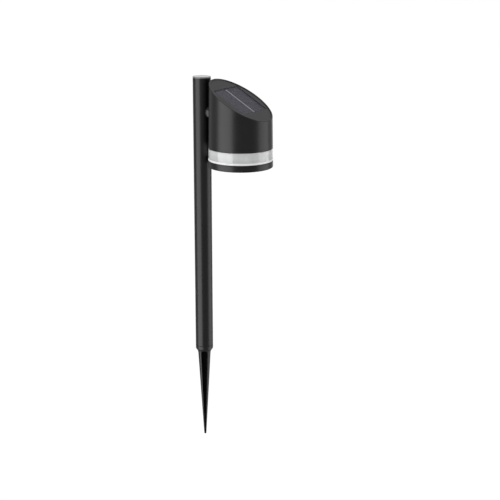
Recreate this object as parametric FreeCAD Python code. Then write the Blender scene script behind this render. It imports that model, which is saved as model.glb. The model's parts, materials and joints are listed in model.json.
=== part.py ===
import FreeCAD, Part

import math
import os

Vector = FreeCAD.Vector
UP = Vector(0, 0, 1)
ALONG_X = Vector(1, 0, 0)
ORIGIN = Vector(0, 0, 0)

# Solar garden stake light. Millimetres, +Z up, the head towards +X.
# The origin is on the post's axis at the ground line, where the spike leaves its collar.

# Post: a painted steel tube on a plastic spike
post_d = 19.0
post_wall = 1.2
post_top_z = 302.0

# Ground spike: a tapered, fluted point under a collar, with a spigot that the post slides on
spike_length = 98.4
spike_top_r = 7.7
spike_point_r = 1.35
spike_tip_round = 1.2
flute_r = 2.9
flute_offset = 6.2
flute_start = 1.0
fin_turn = 30.8
collar_band = 4.0
collar_taper = 4.0
collar_foot_r = 6.95
spigot_length = 24.0
spigot_wall = 2.6
spigot_clearance = 0.08
spigot_chamfer = 0.8
spigot_floor = 3.0

# Post cap: a flat lid with a hollow plug
cap_thickness = 1.5
cap_plug_length = 9.0
cap_plug_wall = 1.4
cap_edge = 0.4
plug_clearance = 0.05

# Head outline: a slightly drafted round body cut by one slanted plane
head_r = 33.63
head_draft_deg = 0.8
head_gap = 4.0
ring_below_top = 70.8
ring_height = 12.4
base_height = 7.2
shell_axis_height = 49.9
slope_deg = 30.6

# Head shell
shell_wall = 2.2
rim_width = 1.7
rim_recess = 0.9
deck_thickness = 1.8
lead_hole_r = 2.6
lead_hole_inset = 6.0
lead_hole_side = 9.5

# Solar panel stack, from the deck upwards
tape_thickness = 0.4
bezel_thickness = 1.6
bezel_fit = 0.1
bezel_rim = 1.0
panel_length = 42.0
panel_width = 46.0
panel_fit = 0.1
cell_thickness = 0.3
cell_margin = 1.2
cell_split = 2.4
busbar_width = 1.6
busbar_thickness = 0.1
cover_thickness = 0.6

# Clear ring with a tongue at each end, and a rubber gasket on each tongue
ring_wall = 2.4
ring_proud = 0.15
tongue_height = 1.5
tongue_thickness = 1.1
tongue_clearance = 0.1
gasket_thickness = 0.8

# Base cup
base_floor = 2.0
base_lip = 1.0
base_edge_round = 0.8
shadow_gap_height = 0.6
shadow_gap_depth = 0.5

# Screw bosses of the shell and pillars of the base, on one circle
boss_count = 4
boss_r = 3.2
boss_web = 2.0
pillar_r = 2.5
pillar_foot_r = 4.4
pillar_foot_height = 2.6
screw_r = 1.5
screw_clearance = 0.2
screw_head_r = 2.7
screw_head_height = 1.8
screw_head_pocket_r = 3.0
screw_head_sink = 1.2
screw_engagement = 10.0
screw_drive_r = 1.2
screw_drive_depth = 0.9
head_edge_round = 0.6

# Reflector: a shallow silver cone that throws the light out through the ring
reflector_thickness = 0.8
reflector_flange = 1.4
reflector_rise = 8.0
reflector_top_r = 9.0
reflector_clearance = 0.3
pillar_hole_clearance = 0.2
lead_passage_r = 2.4

# Light board with its lamps on the underside and the charging parts on top
board_thickness = 1.2
board_gap = 0.6
board_drop = 0.8
led_count = 4
led_circle_r = 20.0
led_side = 3.5
led_height = 1.1
chip_size = (5.0, 4.0, 1.6)
choke_r = 2.4
choke_height = 3.6
capacitor_r = 2.0
capacitor_height = 4.2
part_spacing = 9.0

# One AAA rechargeable cell in a tray that stands on the light board
cell_d = 10.5
cell_length = 44.5
cell_tip_r = 1.9
cell_tip_height = 0.8
tray_wall = 1.4
tray_fit = 0.15
tray_lift = 5.0
tray_foot = 3.0
contact_thickness = 0.4
contact_width = 7.0
contact_gap = 0.8

# Leads of the panel and of the switch
lead_r = 0.6
lead_spacing = 2.6
lead_bow = 4.0
lead_first_run = 12.0
lead_bow_level = 0.6
lead_straight_level = 0.3

# Head fixing: a round saddle spacer and one screw from inside the post
fixing_above_ring = 34.3
spacer_r = 7.7
spacer_end_r = 5.5
spacer_reach = 3.5
fixing_screw_r = 2.0
fixing_hole_clearance = 0.2
fixing_head_r = 3.6
fixing_head_height = 2.4
fixing_drive_r = 1.5
fixing_drive_depth = 1.2
washer_r = 4.2
washer_edge = 0.55
insert_r = 2.9
insert_length = 9.0
insert_boss_r = 5.0
insert_boss_floor = 1.2
plug_r = 4.3
plug_lip_r = 4.9
plug_depth = 3.6

# Slide switch under the base
switch_travel = 4.0
switch_body_x = 6.0
switch_body_y = 12.0
switch_body_z = 4.6
switch_body_wall = 0.8
switch_gap = 0.3
carriage_height = 2.4
lever_x = 2.6
lever_y = 3.0
knob_x = 4.0
knob_y = 5.0
knob_z = 1.8
knob_below_roof = 0.8
knob_round = 0.5
well_x = 9.0
well_y = 16.0
well_depth = 3.4
well_wall = 1.4

# Worked-out sizes and levels
post_r = post_d / 2
post_inner_r = post_r - post_wall
collar_top_z = collar_band + collar_taper
head_x = post_r + head_gap + head_r
slope = math.radians(slope_deg)
draft = math.tan(math.radians(head_draft_deg))
ring_top_z = post_top_z - ring_below_top
ring_bottom_z = ring_top_z - ring_height
base_z = ring_bottom_z - base_height
rim_centre = Vector(head_x, 0, ring_top_z + shell_axis_height)
head_top_z = rim_centre.z + head_r / math.cos(slope)
deck_top = -(rim_recess + bezel_thickness + tape_thickness)
deck_bottom = deck_top - deck_thickness
lead_hole_up = panel_length / 2 - lead_hole_inset
fixing_z = ring_top_z + fixing_above_ring
ring_inner_r = head_r - draft * base_height - ring_wall
tongue_outer_r = ring_inner_r + tongue_thickness
groove_depth = tongue_height + gasket_thickness
base_inner_r = ring_inner_r - base_lip - tongue_clearance
board_r = ring_inner_r - board_gap
board_bottom_z = ring_top_z - board_drop
board_top_z = board_bottom_z + board_thickness
boss_circle_r = board_r - boss_r - reflector_clearance - pillar_hole_clearance
cell_r = cell_d / 2
tray_floor_z = board_top_z + tray_lift
cell_z = tray_floor_z + tray_wall + cell_r
well_roof_z = base_z + well_depth
switch_z = well_roof_z + well_wall
board_edge_r = ring_inner_r - reflector_clearance


def cylinder(radius, low, high, x=0.0, y=0.0):
    """Upright cylinder between two heights."""
    return Part.makeCylinder(radius, high - low, Vector(x, y, low), UP)


def cross_cylinder(radius, x_low, x_high, z, y=0.0):
    """Cylinder lying along X between two places."""
    return Part.makeCylinder(radius, x_high - x_low, Vector(x_low, y, z), ALONG_X)


def tube(outer, inner, low, high, x=0.0, y=0.0):
    """Upright ring of rectangular section."""
    return cylinder(outer, low, high, x, y).cut(cylinder(inner, low, high, x, y))


def block(x, y, z, size_x, size_y, size_z):
    """Box centred on x and y, standing on z."""
    return Part.makeBox(size_x, size_y, size_z, Vector(x - size_x / 2, y - size_y / 2, z))


def revolved(points, x=0.0):
    """Solid turned about the upright axis at x from (radius, height) points."""
    corners = [Vector(x + radius, 0, height) for radius, height in points]
    outline = Part.makePolygon(corners + [corners[0]])
    return Part.Face(outline).revolve(Vector(x, 0, 0), UP, 360)


def head_radius(height, inset=0.0):
    """Outer radius of the drafted head at a height, less an inset."""
    return head_r - draft * (height - base_z) - inset


def head_body(low, high, inset=0.0):
    """Drafted round body of the head between two heights."""
    bottom_r = head_radius(low, inset)
    top_r = head_radius(high, inset)
    return Part.makeCone(bottom_r, top_r, high - low, Vector(head_x, 0, low), UP)


def on_slope(shape):
    """Move a shape from the slanted plane's own frame (Z is its normal) into place."""
    placed = shape.copy()
    placed.rotate(ORIGIN, Vector(0, 1, 0), slope_deg)
    placed.translate(rim_centre)
    return placed


def slope_slab(low, high):
    """Wide slab between two distances from the slanted rim plane."""
    reach = 3 * head_r
    slab = Part.makeBox(2 * reach, 2 * reach, high - low, Vector(-reach, -reach, low))
    return on_slope(slab)


def slope_plate(size_u, size_y, low, high):
    """Rectangular plate that lies parallel to the slanted plane."""
    plate = Part.makeBox(size_u, size_y, high - low, Vector(-size_u / 2, -size_y / 2, low))
    return on_slope(plate)


def lowest_edge(shape):
    """The round edge at the shape's underside."""
    return min(shape.Edges, key=lambda edge: edge.BoundBox.ZMax)


def rearmost_edge(shape):
    """The round edge at the shape's rear, towards -X."""
    return min(shape.Edges, key=lambda edge: edge.BoundBox.XMax)


def around(count, radius, start_deg=0.0):
    """Places spaced evenly on a circle about the head's axis, as (x, y, angle)."""
    places = []
    for index in range(count):
        angle = start_deg + 360 * index / count
        turn = math.radians(angle)
        places.append((head_x + radius * math.cos(turn), radius * math.sin(turn), angle))
    return places


def boss_places():
    """The screw bosses stand midway between the head's main directions."""
    return around(boss_count, boss_circle_r, 180 / boss_count)


def ground_spike():
    """Fluted spike, tapered collar and hollow spigot in one moulding."""
    point_z = spike_tip_round - spike_length
    body = Part.makeCone(spike_point_r, spike_top_r, -point_z, Vector(0, 0, point_z), UP)
    tip = Part.makeSphere(spike_tip_round, Vector(0, 0, point_z))
    taper = Part.makeCone(collar_foot_r, post_r, collar_taper, ORIGIN, UP)
    body = body.fuse([tip, taper])
    shrink = spike_point_r / spike_top_r
    top_centre = Vector(flute_offset, 0, -flute_start)
    low_centre = Vector(flute_offset * shrink, 0, point_z)
    run = low_centre - top_centre
    flute = Part.makeCone(flute_r, flute_r * shrink, run.Length, top_centre, run)
    flute = flute.fuse(Part.makeSphere(flute_r, top_centre))
    for index in range(4):
        turned = flute.copy()
        turned.rotate(ORIGIN, UP, fin_turn + 90 * index - 90)
        body = body.cut(turned)
    band = cylinder(post_r, collar_taper, collar_top_z)
    spigot_r = post_inner_r - spigot_clearance
    spigot_top = collar_top_z + spigot_length
    spigot = revolved([
        (0, collar_top_z),
        (spigot_r, collar_top_z),
        (spigot_r, spigot_top - spigot_chamfer),
        (spigot_r - spigot_chamfer, spigot_top),
        (0, spigot_top),
    ])
    hollow = cylinder(spigot_r - spigot_wall, collar_top_z + spigot_floor, spigot_top)
    return body.fuse([band, spigot]).cut(hollow).removeSplitter()


def post_tube():
    """Steel tube with the fixing hole in front and the access hole behind."""
    wall = tube(post_r, post_inner_r, collar_top_z, post_top_z - cap_thickness)
    front = cross_cylinder(fixing_screw_r + fixing_hole_clearance, 0, post_d, fixing_z)
    rear = cross_cylinder(plug_r, -post_d, 0, fixing_z)
    return wall.cut(front).cut(rear)


def post_cap():
    """Flat lid with a hollow plug inside the post's top."""
    lid_z = post_top_z - cap_thickness
    plug_outer = post_inner_r - plug_clearance
    return revolved([
        (0, post_top_z),
        (post_r - cap_edge, post_top_z),
        (post_r, post_top_z - cap_edge),
        (post_r, lid_z),
        (plug_outer, lid_z),
        (plug_outer, lid_z - cap_plug_length),
        (plug_outer - cap_plug_wall, lid_z - cap_plug_length),
        (plug_outer - cap_plug_wall, lid_z),
        (0, lid_z),
    ])


def saddle_spacer():
    """Barrel-shaped boss between post and head, hollowed to the curve of each."""
    middle_x = post_r + head_gap / 2
    half_length = head_gap / 2 + spacer_reach
    rear = Vector(middle_x - half_length, 0, fixing_z)
    front = Vector(middle_x + half_length, 0, fixing_z)
    crown = Vector(middle_x, 0, fixing_z + spacer_r)
    rise = Vector(0, 0, spacer_end_r)
    arc = Part.Arc(rear + rise, crown, front + rise).toShape()
    ends = Part.makePolygon([front + rise, front, rear, rear + rise])
    barrel = Part.Face(Part.Wire([arc] + ends.Edges)).revolve(rear, ALONG_X, 360)
    barrel = barrel.cut(cylinder(post_r, base_z, post_top_z))
    barrel = barrel.cut(head_body(base_z, head_top_z))
    bore = cross_cylinder(fixing_screw_r + fixing_hole_clearance, 0, head_x, fixing_z)
    return barrel.cut(bore)


def washer_face_x():
    """Where the flat side of the curved washer lies inside the post."""
    return math.sqrt(post_inner_r ** 2 - washer_r ** 2) - washer_edge


def curved_washer():
    """Washer with one flat side and one side that follows the post's inner wall."""
    disc = cross_cylinder(washer_r, washer_face_x(), post_r, fixing_z)
    disc = disc.common(cylinder(post_inner_r, base_z, post_top_z))
    bore = cross_cylinder(fixing_screw_r + fixing_hole_clearance, 0, post_r, fixing_z)
    return disc.cut(bore)


def insert_start_x():
    """Outer end of the brass insert, inside the shell's rear wall."""
    return head_x - head_radius(fixing_z, shell_wall)


def fixing_screw():
    """Pan head screw from inside the post into the brass insert."""
    seat = washer_face_x()
    shank_end = insert_start_x() + insert_length
    head = cross_cylinder(fixing_head_r, seat - fixing_head_height, seat, fixing_z)
    head = head.makeFillet(head_edge_round, [rearmost_edge(head)])
    shank = cross_cylinder(fixing_screw_r, seat, shank_end, fixing_z)
    rear = seat - fixing_head_height
    drive = cross_cylinder(fixing_drive_r, rear, rear + fixing_drive_depth, fixing_z)
    return head.fuse(shank).cut(drive)


def threaded_insert():
    """Brass bush pressed into the shell's rear boss."""
    start = insert_start_x()
    bush = cross_cylinder(insert_r, start, start + insert_length, fixing_z)
    return bush.cut(cross_cylinder(fixing_screw_r, start, start + insert_length, fixing_z))


def access_plug():
    """Flush plug that closes the hole behind the fixing screw, with a snap lip inside the wall."""
    inner_x = plug_depth - post_r
    stem = cross_cylinder(plug_r - plug_clearance, -post_r, inner_x, fixing_z)
    stem = stem.common(cylinder(post_r, base_z, post_top_z))
    lip = cross_cylinder(plug_lip_r, -post_r, inner_x, fixing_z)
    lip = lip.common(cylinder(post_inner_r - plug_clearance, base_z, post_top_z))
    return stem.fuse(lip)


def head_shell():
    """Drafted shell with a recessed, slanted deck, screw bosses and a rear boss."""
    outer = head_body(ring_top_z, head_top_z).cut(slope_slab(0, head_top_z))
    recess = head_body(ring_top_z, head_top_z, rim_width).common(slope_slab(deck_top, head_top_z))
    room = head_body(ring_top_z, head_top_z, shell_wall).cut(slope_slab(deck_bottom, head_top_z))
    shell = outer.cut(recess).cut(room)
    bosses = []
    for x, y, angle in boss_places():
        boss = cylinder(boss_r, board_top_z, head_top_z, x, y)
        web = Part.makeBox(head_r - boss_circle_r, boss_web, head_top_z - board_top_z,
                           Vector(0, -boss_web / 2, board_top_z))
        web.rotate(ORIGIN, UP, angle)
        web.translate(Vector(x, y, 0))
        bosses.append(boss.fuse(web).common(room))
    rear_end = insert_start_x() + insert_length + insert_boss_floor
    bosses.append(cross_cylinder(insert_boss_r, 0, rear_end, fixing_z).common(room))
    shell = shell.fuse(bosses)
    for x, y, angle in boss_places():
        shell = shell.cut(cylinder(screw_r, board_top_z, board_top_z + screw_engagement, x, y))
    insert_end = insert_start_x() + insert_length
    shell = shell.cut(cross_cylinder(insert_r, insert_start_x(), insert_end, fixing_z))
    shell = shell.cut(cross_cylinder(fixing_screw_r + fixing_hole_clearance, 0, insert_end, fixing_z))
    groove_r = tongue_outer_r + tongue_clearance
    shell = shell.cut(cylinder(groove_r, ring_top_z, ring_top_z + groove_depth, head_x)
                      .cut(cylinder(board_edge_r, ring_top_z, ring_top_z + groove_depth, head_x)))
    hole_place = Vector(-lead_hole_up, lead_hole_side, deck_bottom)
    hole = Part.makeCylinder(lead_hole_r, deck_thickness, hole_place, UP)
    return shell.cut(on_slope(hole)).removeSplitter()


def panel_plate(gap, low, high):
    """Rectangle of the panel, larger by a gap, with its corners kept inside the bezel's rim."""
    plate = slope_plate(panel_length + 2 * gap, panel_width + 2 * gap, low, high)
    return plate.common(head_body(ring_top_z, head_top_z, rim_width + bezel_fit + bezel_rim - gap))


def recess_fill(low, high):
    """Plate that fills the shell's recess between two depths, less the panel's opening."""
    plate = head_body(ring_top_z, head_top_z, rim_width + bezel_fit).common(slope_slab(low, high))
    return plate.cut(panel_plate(panel_fit, low, high))


def bezel_tape():
    """Adhesive sheet between the deck and the bezel."""
    return recess_fill(deck_top, deck_top + tape_thickness)


def panel_bezel():
    """Slanted face plate round the solar panel."""
    return recess_fill(deck_top + tape_thickness, -rim_recess)


def panel_levels():
    """Top of the backing and top of the cells, from the rim plane."""
    cells_top = -rim_recess - cover_thickness
    return cells_top - cell_thickness, cells_top


def solar_backing():
    """Laminate that carries the cells, laid on the deck."""
    backing_top = panel_levels()[0]
    return panel_plate(0, deck_top, backing_top)


def solar_cells():
    """Two silicon strips side by side along the slope."""
    low, high = panel_levels()
    strip_width = (panel_width - 2 * cell_margin - cell_split) / 2
    strips = []
    for side in (-1, 1):
        middle = side * (cell_split + strip_width) / 2
        corner = Vector(cell_margin - panel_length / 2, middle - strip_width / 2, low)
        strip = Part.makeBox(panel_length - 2 * cell_margin, strip_width, high - low, corner)
        strips.append(on_slope(strip).common(panel_plate(-cell_margin, low, high)))
    return strips


def busbar():
    """Tinned ribbon between the two strips of cells."""
    low, high = panel_levels()
    return slope_plate(panel_length - 2 * cell_margin, busbar_width, low, high + busbar_thickness)


def panel_cover():
    """Clear resin layer over the cells, level with the bezel."""
    low, high = panel_levels()
    cover = panel_plate(0, low, -rim_recess)
    for piece in solar_cells() + [busbar()]:
        cover = cover.cut(piece)
    return cover


def light_ring():
    """Clear ring with a tongue at each end."""
    wall = head_body(ring_bottom_z, ring_top_z, -ring_proud)
    low = ring_bottom_z - tongue_height
    high = ring_top_z + tongue_height
    wall = wall.fuse(cylinder(tongue_outer_r, low, high, head_x))
    bore = cylinder(ring_inner_r, low, high, head_x)
    return wall.cut(bore).removeSplitter()


def upper_gasket():
    """Rubber ring on the upper tongue."""
    low = ring_top_z + tongue_height
    return tube(tongue_outer_r, ring_inner_r, low, low + gasket_thickness, head_x)


def lower_gasket():
    """Rubber ring under the lower tongue."""
    high = ring_bottom_z - tongue_height
    return tube(tongue_outer_r, ring_inner_r, high - gasket_thickness, high, head_x)


def base_cup():
    """Round base with the ring's groove, four hollow pillars and the switch well."""
    band_top = ring_bottom_z - shadow_gap_height
    band = head_body(base_z, band_top)
    band = band.makeFillet(base_edge_round, [lowest_edge(band)])
    cup = band.fuse(head_body(band_top, ring_bottom_z, shadow_gap_depth))
    cup = cup.cut(cylinder(base_inner_r, base_z + base_floor, ring_bottom_z, head_x))
    groove_low = ring_bottom_z - groove_depth
    groove = tube(tongue_outer_r + tongue_clearance, ring_inner_r - tongue_clearance,
                  groove_low, ring_bottom_z, head_x)
    well_outer = block(head_x, 0, base_z, well_x + 2 * well_wall, well_y + 2 * well_wall, switch_z - base_z)
    added = [well_outer]
    for x, y, angle in boss_places():
        foot_top = base_z + base_floor + pillar_foot_height
        foot = cylinder(pillar_foot_r, base_z + base_floor, foot_top, x, y)
        added.append(foot.common(cylinder(tongue_outer_r, base_z, foot_top, head_x)))
        added.append(cylinder(pillar_r, base_z + base_floor, board_bottom_z, x, y))
    cup = cup.fuse(added).cut(groove)
    cup = cup.cut(block(head_x, 0, base_z, well_x, well_y, well_depth))
    slot_y = lever_y + switch_travel + 2 * switch_gap
    cup = cup.cut(block(head_x, 0, well_roof_z, lever_x + 2 * switch_gap, slot_y, well_wall))
    for x, y, angle in boss_places():
        cup = cup.cut(cylinder(screw_r + screw_clearance, base_z, board_bottom_z, x, y))
        cup = cup.cut(cylinder(screw_head_pocket_r, base_z, screw_seat_z(), x, y))
    return cup.removeSplitter()


def screw_seat_z():
    """Where the base screws' heads bear."""
    return base_z + screw_head_sink + screw_head_height


def base_screws():
    """Long screws that clamp base, ring, board and shell together."""
    seat = screw_seat_z()
    screws = []
    for x, y, angle in boss_places():
        head = cylinder(screw_head_r, seat - screw_head_height, seat, x, y)
        head = head.makeFillet(head_edge_round, [lowest_edge(head)])
        bottom = seat - screw_head_height
        drive = cylinder(screw_drive_r, bottom, bottom + screw_drive_depth, x, y)
        shank = cylinder(screw_r, seat, board_top_z + screw_engagement, x, y)
        screws.append(head.fuse(shank).cut(drive))
    return screws


def reflector():
    """Shallow silver cone with a flange on the base's lip."""
    rim_r = board_edge_r
    flange_r = rim_r - reflector_flange
    low = ring_bottom_z
    high = low + reflector_rise
    cone = revolved([
        (lead_passage_r, high),
        (reflector_top_r, high),
        (flange_r, low),
        (rim_r, low),
        (rim_r, low + reflector_thickness),
        (flange_r, low + reflector_thickness),
        (reflector_top_r, high + reflector_thickness),
        (lead_passage_r, high + reflector_thickness),
    ], head_x)
    for x, y, angle in boss_places():
        hole = cylinder(pillar_r + pillar_hole_clearance, low, high, x, y)
        cone = cone.cut(hole)
    return cone


def light_board():
    """Round circuit board clamped between the pillars and the bosses."""
    board = cylinder(board_r, board_bottom_z, board_top_z, head_x)
    for x, y, angle in boss_places():
        board = board.cut(cylinder(screw_r + screw_clearance, board_bottom_z, board_top_z, x, y))
    return board


def leds():
    """Square lamps on the underside of the board, over the reflector."""
    lamps = []
    for x, y, angle in around(led_count, led_circle_r):
        lamp = block(0, 0, board_bottom_z - led_height, led_side, led_side, led_height)
        lamp.rotate(ORIGIN, UP, angle)
        lamp.translate(Vector(x, y, 0))
        lamps.append(lamp)
    return lamps


def charge_parts():
    """Controller, choke and capacitor on top of the board, under the tray."""
    chip = block(head_x, 0, board_top_z, *chip_size)
    choke = cylinder(choke_r, board_top_z, board_top_z + choke_height, head_x, part_spacing)
    capacitor = cylinder(capacitor_r, board_top_z, board_top_z + capacitor_height, head_x, -part_spacing)
    return [chip, choke, capacitor]


def tray_half_length():
    """Half the tray's inner length: cell, tip and both contacts with their gaps."""
    return (cell_length + cell_tip_height) / 2 + contact_thickness + contact_gap


def battery_tray():
    """Open cradle for the cell, on four feet."""
    inner_x = cell_d + 2 * tray_fit
    inner_y = 2 * tray_half_length()
    height = tray_wall + cell_r
    tray = block(head_x, 0, tray_floor_z, inner_x + 2 * tray_wall, inner_y + 2 * tray_wall, height)
    tray = tray.cut(block(head_x, 0, tray_floor_z + tray_wall, inner_x, inner_y, height))
    foot_x = (inner_x + 2 * tray_wall - tray_foot) / 2
    foot_y = inner_y / 2 - contact_width / 2
    for side_x in (-1, 1):
        for side_y in (-1, 1):
            foot = block(head_x + side_x * foot_x, side_y * foot_y, board_top_z,
                         tray_foot, tray_foot, tray_lift)
            tray = tray.fuse(foot)
    for side_y in (-1, 1):
        leg = contact_leg(side_y)
        tray = tray.cut(leg)
    return tray.removeSplitter()


def contact_leg(side):
    """Solder leg of a contact, from the tray's end down to the board."""
    y = side * (tray_half_length() - contact_thickness / 2)
    leg_width = contact_width / 2
    return block(head_x, y, board_top_z, leg_width, contact_thickness, tray_lift + tray_wall)


def battery_contacts():
    """Two flat contacts with sprung middles that press on the cell's ends."""
    contacts = []
    for side in (-1, 1):
        y = side * (tray_half_length() - contact_thickness / 2)
        plate = block(head_x, y, tray_floor_z + tray_wall, contact_width, contact_thickness, cell_r)
        bump_start = Vector(head_x, side * (tray_half_length() - contact_thickness), cell_z)
        bump = Part.makeCylinder(cell_tip_r, contact_gap, bump_start, Vector(0, -side, 0))
        contacts.append(plate.fuse([contact_leg(side), bump]).removeSplitter())
    return contacts


def battery_cell():
    """Cylindrical cell with a raised tip at one end."""
    start = contact_gap + contact_thickness - tray_half_length()
    can = Part.makeCylinder(cell_r, cell_length, Vector(head_x, start, cell_z), Vector(0, 1, 0))
    tip_start = Vector(head_x, start + cell_length, cell_z)
    tip = Part.makeCylinder(cell_tip_r, cell_tip_height, tip_start, Vector(0, 1, 0))
    return can.fuse(tip)


def lead(points, radius):
    """Round wire along straight runs joined by tangent arcs."""
    edges = []
    start = points[0]
    for before, corner, after in zip(points, points[1:], points[2:]):
        inward = (before - corner).normalize()
        outward = (after - corner).normalize()
        half_turn = (math.pi - inward.getAngle(outward)) / 2
        run = min((before - corner).Length, (after - corner).Length)
        bend_r = 0.45 * run / math.tan(half_turn)
        reach = 0.45 * run
        arc_start = corner + inward * reach
        arc_end = corner + outward * reach
        middle = (inward + outward).normalize()
        arc_middle = corner + middle * (bend_r / math.cos(half_turn) - bend_r)
        edges.append(Part.LineSegment(start, arc_start).toShape())
        edges.append(Part.Arc(arc_start, arc_middle, arc_end).toShape())
        start = arc_end
    edges.append(Part.LineSegment(start, points[-1]).toShape())
    path = Part.Wire(edges)
    section = Part.Wire(Part.makeCircle(radius, points[0], points[1] - points[0]))
    return path.makePipeShell([section], True, False)


def panel_leads():
    """Pair of wires from the back of the panel down to the board."""
    normal = Vector(math.sin(slope), 0, math.cos(slope))
    wires = []
    for side in (-1, 1):
        y = lead_hole_side + side * lead_spacing / 2
        start = on_slope(Part.Vertex(Vector(-lead_hole_up, y, deck_top))).Point
        below = start - normal * lead_first_run
        drop = below.z - board_top_z
        bowed = Vector(below.x - lead_bow, y, board_top_z + drop * lead_bow_level)
        low = Vector(below.x, y, board_top_z + drop * lead_straight_level)
        end = Vector(low.x, y, board_top_z)
        wires.append(lead([start, below, bowed, low, end], lead_r))
    return wires


def switch_leads():
    """Pair of short wires from the switch up to the board."""
    top = switch_z + switch_body_z
    wires = []
    for side in (-1, 1):
        wires.append(cylinder(lead_r, top, board_bottom_z, head_x, side * lead_spacing / 2))
    return wires


def switch_body():
    """Housing of the slide switch, seated on the well's roof."""
    body = block(head_x, 0, switch_z, switch_body_x, switch_body_y, switch_body_z)
    room_x = switch_body_x - 2 * switch_body_wall
    room_y = switch_body_y - 2 * switch_body_wall
    room_z = carriage_height + 2 * switch_gap
    return body.cut(block(head_x, 0, switch_z, room_x, room_y, room_z))


def switch_knob():
    """Carriage, lever and finger knob, stored at the off end of the travel."""
    room_x = switch_body_x - 2 * switch_body_wall
    room_y = switch_body_y - 2 * switch_body_wall
    y = -switch_travel / 2
    carriage_z = switch_z + switch_gap
    carriage = block(head_x, y, carriage_z, room_x - 2 * switch_gap,
                     room_y - switch_travel - 2 * switch_gap, carriage_height)
    knob_top = well_roof_z - knob_below_roof
    lever = block(head_x, y, knob_top, lever_x, lever_y, carriage_z - knob_top)
    knob = block(head_x, y, knob_top - knob_z, knob_x, knob_y, knob_z)
    bottom = [edge for edge in knob.Edges if edge.BoundBox.ZMax < knob_top - knob_z / 2]
    knob = knob.makeFillet(knob_round, bottom)
    return carriage.fuse([lever, knob]).removeSplitter()


NODES = {
    "ground_spike": ground_spike,
    "post_tube": post_tube,
    "post_cap": post_cap,
    "saddle_spacer": saddle_spacer,
    "curved_washer": curved_washer,
    "fixing_screw": fixing_screw,
    "threaded_insert": threaded_insert,
    "access_plug": access_plug,
    "head_shell": head_shell,
    "bezel_tape": bezel_tape,
    "panel_bezel": panel_bezel,
    "solar_backing": solar_backing,
    "solar_cells": solar_cells,
    "busbar": busbar,
    "panel_cover": panel_cover,
    "panel_leads": panel_leads,
    "light_ring": light_ring,
    "upper_gasket": upper_gasket,
    "lower_gasket": lower_gasket,
    "reflector": reflector,
    "light_board": light_board,
    "leds": leds,
    "charge_parts": charge_parts,
    "battery_tray": battery_tray,
    "battery_contacts": battery_contacts,
    "battery_cell": battery_cell,
    "base_cup": base_cup,
    "base_screws": base_screws,
    "switch_body": switch_body,
    "switch_leads": switch_leads,
    "switch_knob": switch_knob,
}

os.makedirs("parts", exist_ok=True)
for name, make in NODES.items():
    made = make()
    shape = Part.makeCompound(made) if isinstance(made, list) else made
    shape.exportStep("parts/" + name + ".step")
    print(name, len(shape.Solids), round(shape.Volume, 1), shape.isValid())
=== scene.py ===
# %% [markdown]
# A solar garden stake light, dressed over its construction model.
# The construction model is loaded as a fixed frame: every piece already has its real size and
# place.

# %% Load the frame
import json
import math

import bmesh
import bpy
from mathutils import Matrix, Vector

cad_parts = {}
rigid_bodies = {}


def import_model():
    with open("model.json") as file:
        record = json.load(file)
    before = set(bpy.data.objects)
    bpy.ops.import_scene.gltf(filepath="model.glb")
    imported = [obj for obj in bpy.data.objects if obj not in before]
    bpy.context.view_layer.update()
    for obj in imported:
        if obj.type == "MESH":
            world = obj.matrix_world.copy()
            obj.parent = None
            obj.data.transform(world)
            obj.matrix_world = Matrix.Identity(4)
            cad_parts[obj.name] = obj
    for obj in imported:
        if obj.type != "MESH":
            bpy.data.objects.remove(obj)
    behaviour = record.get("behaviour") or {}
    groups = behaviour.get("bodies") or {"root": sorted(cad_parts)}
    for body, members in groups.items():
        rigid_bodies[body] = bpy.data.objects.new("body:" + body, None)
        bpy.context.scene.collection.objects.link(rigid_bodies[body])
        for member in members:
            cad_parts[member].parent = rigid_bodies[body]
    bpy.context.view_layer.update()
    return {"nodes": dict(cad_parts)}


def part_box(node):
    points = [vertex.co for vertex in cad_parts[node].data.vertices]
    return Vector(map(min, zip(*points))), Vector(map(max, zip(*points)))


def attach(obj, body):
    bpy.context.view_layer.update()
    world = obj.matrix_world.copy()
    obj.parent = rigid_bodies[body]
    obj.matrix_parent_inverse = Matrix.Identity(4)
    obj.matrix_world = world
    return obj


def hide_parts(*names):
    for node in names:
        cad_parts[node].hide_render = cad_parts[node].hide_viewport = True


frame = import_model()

MM = 0.001
cad_nodes = frame["nodes"]

# %% [markdown]
# The sizes that the new pieces need are read from the frame, so they follow it when a part
# changes. Only what no box can tell, such as the head's draft or a rim's width, is written here.

# %% Sizes and levels
post_low, post_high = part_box("post_tube")
cap_low, cap_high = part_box("post_cap")
shell_low, shell_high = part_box("head_shell")
base_low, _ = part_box("base_cup")
ring_low, ring_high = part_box("light_ring")
board_low, board_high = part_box("light_board")
spike_low, spike_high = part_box("ground_spike")
POST_R = post_high.x
HEAD_X = (board_low.x + board_high.x) / 2
BASE_Z = base_low.z
BASE_R = 33.63 * MM
DRAFT = math.tan(math.radians(0.8))
RING_HEIGHT = 12.4 * MM
RING_TOP = shell_low.z
RING_BOTTOM = RING_TOP - RING_HEIGHT
SLOPE = math.radians(30.6)
SLOPE_ABOVE_RING = 49.9 * MM
RIM_CENTRE = Vector((HEAD_X, 0, RING_TOP + SLOPE_ABOVE_RING))
SLOPE_NORMAL = Vector((math.sin(SLOPE), 0, math.cos(SLOPE)))
SLOPE_DOWN = Vector((math.cos(SLOPE), 0, -math.sin(SLOPE)))
DRUM_STEPS = 160
print("head axis", round(HEAD_X / MM, 2), "mm, ring", round(RING_BOTTOM / MM, 1),
      "to", round(RING_TOP / MM, 1))


def head_radius(height):
    """Outer radius of the drafted head at a height."""
    return BASE_R - DRAFT * (height - BASE_Z)


# %% [markdown]
# The photograph was taken from a little above the light and from its right-hand side.
# The camera's place and lens were worked out from the edges of the post, the ring and the
# slanted top.

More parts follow.
